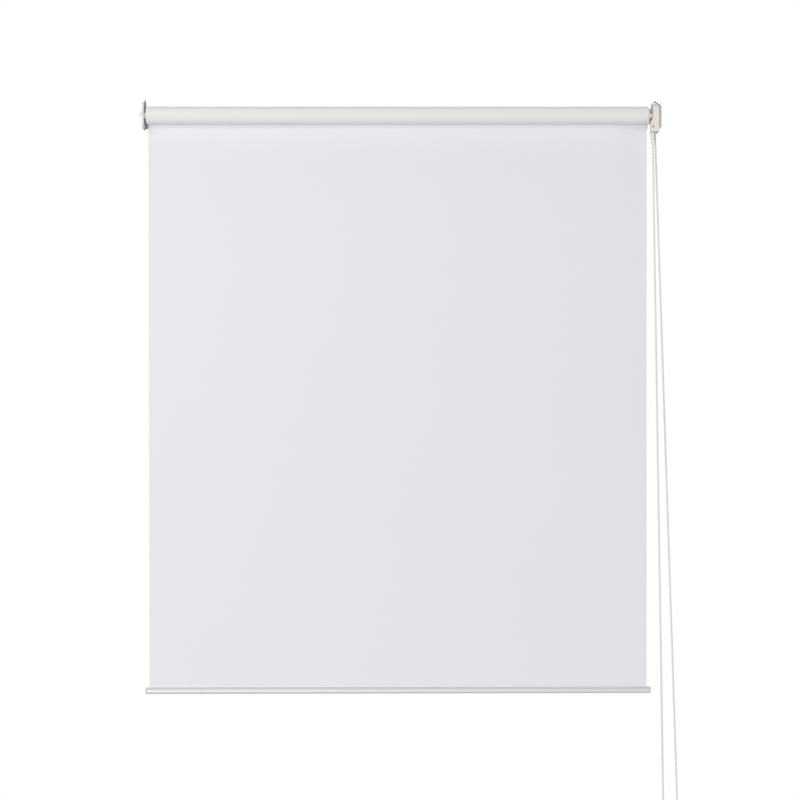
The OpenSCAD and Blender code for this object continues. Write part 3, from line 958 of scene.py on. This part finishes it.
class BLIND_OT_housing(bpy.types.Operator):
    """Moulds the two shells round the chain wheel"""
    bl_idname = "blind.housing"
    bl_label = "Chain wheel housing"

    def execute(self, context):
        scene = context.scene
        housing = scene.blind_housing
        axis_y = -mm(scene.blind_roller.axis_off)
        self.mould_front(scene, housing, axis_y)
        self.mould_back(scene, housing, axis_y)
        return {"FINISHED"}

    def mould_front(self, scene, housing, axis_y):
        """A thin skin: drum, flared guide, neck hole, two chain eyelets and the catch window."""
        low = -mm(housing.guide)
        front_y = axis_y - mm(housing.drum_radius)
        bm = bmesh.new()
        neck = circle((axis_y, 0), NECK_R)
        prism(bm, [guard_outline(housing, axis_y), neck], facing_x(SHELL_BACK),
              (SHELL_FRONT - SHELL_BACK, 0, 0))
        bmesh.ops.recalc_face_normals(bm, faces=bm.faces[:])

        def back_or_tunnel(face):
            centre = face.calc_center_median()
            beside = math.hypot(centre.y - axis_y, centre.z)
            return centre.x > SHELL_BACK - TOUCH or (beside < NECK_R + 0.5 and abs(face.normal.x) < 0.5)

        drop_faces(bm, back_or_tunnel)
        for z in (FLARE_TOP, FLARE_LOW):
            cut_at(bm, (0, 0, z), (0, 0, 1))
        cut_at(bm, (0, FLARE_BACK, 0), (0, 1, 0))
        bm.normal_update()
        guide = [f for f in bm.faces if f.normal.x < -0.9
                 and f.calc_center_median().z < FLARE_TOP and f.calc_center_median().y < FLARE_BACK]
        swept = bmesh.ops.extrude_face_region(bm, geom=guide)
        bmesh.ops.delete(bm, geom=guide, context="FACES")
        flared = [g for g in swept["geom"]
                  if isinstance(g, bmesh.types.BMVert) and g.co.z < FLARE_LOW + TOUCH]
        bmesh.ops.translate(bm, verts=flared, vec=(FLARE_X - SHELL_FRONT, 0, 0))
        bmesh.ops.remove_doubles(bm, verts=bm.verts[:], dist=0.001)

        def underside(face):
            return face.normal.z < -0.9 and face.calc_center_median().z < low + TOUCH

        def room_side(face):
            return face.normal.y < -0.9 and face.calc_center_median().y < front_y + TOUCH

        join_flat(bm, underside)
        join_flat(bm, room_side)
        mouths = [circle((m.x, m.y), MOUTH_R, 24) for m in (front_mouth(axis_y), rear_mouth(axis_y))]
        open_holes(bm, underside, mouths, lambda u, v: Vector((u, v, low)))
        catch = [(506.5, -27), (508.5, -27), (508.5, -21), (506.5, -21)]
        open_holes(bm, lambda f: room_side(f) and f.calc_center_median().z < 0, [catch],
                   facing_y(front_y))
        turn_out(bm, (-1, 0, 0))
        shell = finish_piece(bm, "housing_front_shell", [housing_plastic(scene)], "frame",
                             ["guard_front"], closed=False)
        thicken(shell, mm(housing.wall))
        soften(shell, 0.6)

    def mould_back(self, scene, housing, axis_y):
        """The plate that closes the shell, with its boss and the two pegs for the bracket."""
        inset, plate, bore, chamfer = 2.05, 1.4, 3, 0.4
        boss_in, boss_out = 518, 524
        bm = bmesh.new()
        prism(bm, [guard_outline(housing, axis_y, inset), circle((axis_y, 0), bore)],
              facing_x(SHELL_BACK), (-plate, 0, 0))
        boss = [(bore, boss_in), (NECK_R - chamfer, boss_in), (NECK_R, boss_in + chamfer),
                (NECK_R, boss_out), (bore, boss_out)]
        turned(bm, boss, Vector((0, axis_y, 0)), (1, 0, 0))
        for z in (-PEG_Z, PEG_Z):
            prism(bm, [circle((axis_y, z), PEG_R, 16)], facing_x(SHELL_BACK),
                  (boss_out - SHELL_BACK, 0, 0))
        back = finish_piece(bm, "housing_back_plate", [housing_plastic(scene)], "frame",
                            ["guard_back"])
        soften(back, 0.35, 2)


def bar_section(bar, centre_y, low, grow=0.0):
    """Round-ended outline of the bar and its caps, in Y and Z."""
    radius = mm(bar.depth) / 2
    high = low + mm(bar.height)
    return (arc((centre_y, low + radius), radius + grow, 180, 360, 20)
            + arc((centre_y, high - radius), radius + grow, 0, 180, 20))


class BLIND_OT_bar(bpy.types.Operator):
    """Draws the bottom bar, with the slot that holds the cloth, and moulds its end caps"""
    bl_idname = "blind.bar"
    bl_label = "Bottom bar"

    def execute(self, context):
        scene = context.scene
        bar = scene.blind_bar
        half = reach("bottom_bar", 1, 0)
        low = reach("bottom_bar", 0, 2)
        centre_y = (reach("bottom_bar", 0, 1) + reach("bottom_bar", 1, 1)) / 2
        high = low + mm(bar.height)
        radius = mm(bar.depth) / 2
        slot, room = 0.55, 2.6
        ceiling, sill = high - 2, low + 3
        meet = math.degrees(math.acos(slot / radius))
        section = (arc((centre_y, low + radius), radius, 180, 360, 24)
                   + arc((centre_y, high - radius), radius, 0, meet, 12)
                   + [(centre_y + slot, ceiling), (centre_y + room, ceiling),
                      (centre_y + room, sill), (centre_y - room, sill),
                      (centre_y - room, ceiling), (centre_y - slot, ceiling)]
                   + arc((centre_y, high - radius), radius, 180 - meet, 180, 12))
        bm = bmesh.new()
        prism(bm, [section], facing_x(-half), (2 * half, 0, 0))
        metal = shared("Satin bar", drawn_metal, bar.metal, 0.2, 0.46)
        piece = finish_piece(bm, "bottom_bar_profile", [metal], "bar", ["bottom_bar"])
        soften(piece, 0.25, 2)
        for side, node in ((-1, "bar_cap_left"), (1, "bar_cap_right")):
            self.mould_cap(scene, bar, node, side, half, low, centre_y)
        return {"FINISHED"}

    def mould_cap(self, scene, bar, node, side, half, low, centre_y):
        """End cap with a rounded rim and the tongue that plugs into the bar."""
        out = reach(node, 1, 0) if side > 0 else reach(node, 0, 0)
        proud = 0.3
        bm = bmesh.new()
        prism(bm, [bar_section(bar, centre_y, low, proud)], facing_x(side * half),
              (out - side * half, 0, 0))
        rim = [e for e in bm.edges if all(abs(v.co.x - out) < TOUCH for v in e.verts)]
        round_edges(bm, rim, mm(bar.cap_round), 4)
        room = 2.5
        sill, high = low + 3.1, low + mm(bar.height) - 2.1
        tongue = [(centre_y - room, sill), (centre_y + room, sill),
                  (centre_y + room, high), (centre_y - room, high)]
        tongue_end = side * 500.5
        prism(bm, [tongue], facing_x(tongue_end), (side * half - tongue_end, 0, 0))
        finish_piece(bm, node + "_moulding", [cap_plastic(scene)], "bar", [node])


class BLIND_OT_idle_coil(bpy.types.Operator):
    """Coils the spring behind the idle pin"""
    bl_idname = "blind.idle_coil"
    bl_label = "Idle spring"

    def execute(self, context):
        scene = context.scene
        axis_y = -mm(scene.blind_roller.axis_off)
        wire, radius, coils, around = 0.5, 5.2, 6, 20
        first = reach("idle_spring", 0, 0) + wire
        last = reach("idle_spring", 1, 0) - wire
        bm = bmesh.new()
        cross = Matrix.Translation((first, axis_y + radius, 0))
        ring = bmesh.ops.create_circle(bm, cap_ends=False, segments=10, radius=wire, matrix=cross)
        edges = list({e for v in ring["verts"] for e in v.link_edges})
        steps = coils * around
        bmesh.ops.spin(bm, geom=ring["verts"] + edges, cent=(0, axis_y, 0), axis=(1, 0, 0),
                       dvec=((last - first) / steps, 0, 0), angle=2 * math.pi * coils, steps=steps)
        bmesh.ops.holes_fill(bm, edges=[e for e in bm.edges if e.is_boundary], sides=10)
        piece = finish_piece(bm, "idle_spring_coil", [steel(scene)], "roller", ["idle_spring"])
        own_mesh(piece)
        return {"FINISHED"}


class BLIND_OT_hold_down(bpy.types.Operator):
    """Moulds the hold-down that keeps the chain taut on the wall"""
    bl_idname = "blind.hold_down"
    bl_label = "Hold-down"

    def execute(self, context):
        scene = context.scene
        x, z = PULLEY_AT.x, PULLEY_AT.z
        disc, ear, ear_x, ear_hole = 20.0, 6.0, 30.0, 2.2
        lean = math.degrees(math.asin(ear / disc))
        outline = (arc((x + ear_x, z), ear, -90, 90, 16) + arc((x, z), disc, lean, 180 - lean, 36)
                   + arc((x - ear_x, z), ear, 90, 270, 16)
                   + arc((x, z), disc, 180 + lean, 360 - lean, 36))
        holes = [circle((x + s * ear_x, z), ear_hole, 24) for s in (-1, 1)]
        base_t = 2.5
        bm = bmesh.new()
        prism(bm, [outline] + holes, facing_y(0), (0, -base_t, 0))
        base = finish_piece(bm, "hold_down_base", [cover_plastic(scene)], "frame",
                            ["holddown_base"])
        soften(base, 0.6)

        centre = Vector((x, 0, z))
        rivet, inside, skirt = 2.5, 18.2, disc - 0.05
        under, face = 20.5, 22.0
        lid = [(rivet, under), (rivet, face), (disc - 1.4, face), (disc - 0.5, face - 0.4),
               (disc, under + 0.2), (disc, under)]
        bm = bmesh.new()
        turned(bm, lid, centre, (0, -1, 0), steps=64)
        wall = bmesh.new()
        tuck = under + 0.5
        turned(wall, [(inside, base_t), (skirt, base_t), (skirt, tuck), (inside, tuck)], centre,
               (0, -1, 0), steps=64)
        bmesh.ops.recalc_face_normals(wall, faces=wall.faces[:])
        opening = 5
        bmesh.ops.bisect_plane(wall, geom=wall.verts[:] + wall.edges[:] + wall.faces[:],
                               dist=0.0001, plane_co=(x, 0, z + opening), plane_no=(0, 0, 1),
                               clear_outer=True)
        bmesh.ops.holes_fill(wall, edges=[e for e in wall.edges if e.is_boundary], sides=0)
        cup = bpy.data.meshes.new("cup wall")
        wall.to_mesh(cup)
        wall.free()
        bm.from_mesh(cup)
        bpy.data.meshes.remove(cup)
        finish_piece(bm, "hold_down_cup", [cover_plastic(scene)], "frame", ["holddown_cover"])
        return {"FINISHED"}


class BLIND_OT_inner_parts(bpy.types.Operator):
    """Finishes the frame parts that keep their own shape"""
    bl_idname = "blind.inner_parts"
    bl_label = "Inner parts"

    def execute(self, context):
        scene = context.scene
        tube = shared("Drawn tube", drawn_metal, scene.blind_roller.tube, 0.9, 0.32)
        finishes = {
            "roller_tube": tube,
            "spindle_screw": steel(scene),
            "wrap_springs": steel(scene),
            "holddown_axle": steel(scene),
        }
        for node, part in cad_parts.items():
            if part.hide_render:
                continue
            finish = finishes.get(node, inner_plastic(scene))
            for slot in part.material_slots:
                slot.material = finish
        return {"FINISHED"}


OPERATORS = [BLIND_OT_stage, BLIND_OT_chain, BLIND_OT_connector, BLIND_OT_cloth, BLIND_OT_roll,
             BLIND_OT_brackets, BLIND_OT_covers, BLIND_OT_housing, BLIND_OT_bar,
             BLIND_OT_idle_coil, BLIND_OT_hold_down, BLIND_OT_inner_parts]


class BLIND_PT_panel(bpy.types.Panel):
    """The blind's settings and the steps that make it"""
    bl_idname = "BLIND_PT_panel"
    bl_label = "Roller blind"
    bl_space_type = "VIEW_3D"
    bl_region_type = "UI"
    bl_category = "Blind"

    def draw(self, context):
        for group, kind in GROUPS.items():
            box = self.layout.box()
            box.label(text=group.replace("blind_", "").capitalize())
            for setting in kind.__annotations__:
                box.prop(getattr(context.scene, group), setting)
        for step in OPERATORS:
            self.layout.operator(step.bl_idname)


def register():
    for group, kind in GROUPS.items():
        bpy.utils.register_class(kind)
        setattr(bpy.types.Scene, group, PointerProperty(type=kind))
    for step in OPERATORS:
        bpy.utils.register_class(step)
    bpy.utils.register_class(BLIND_PT_panel)


def unregister():
    bpy.utils.unregister_class(BLIND_PT_panel)
    for step in reversed(OPERATORS):
        bpy.utils.unregister_class(step)
    for group, kind in reversed(GROUPS.items()):
        delattr(bpy.types.Scene, group)
        bpy.utils.unregister_class(kind)


def main():
    register()
    for step in OPERATORS:
        family, name = step.bl_idname.split(".")
        getattr(getattr(bpy.ops, family), name)()


if __name__ == "__main__":
    main()
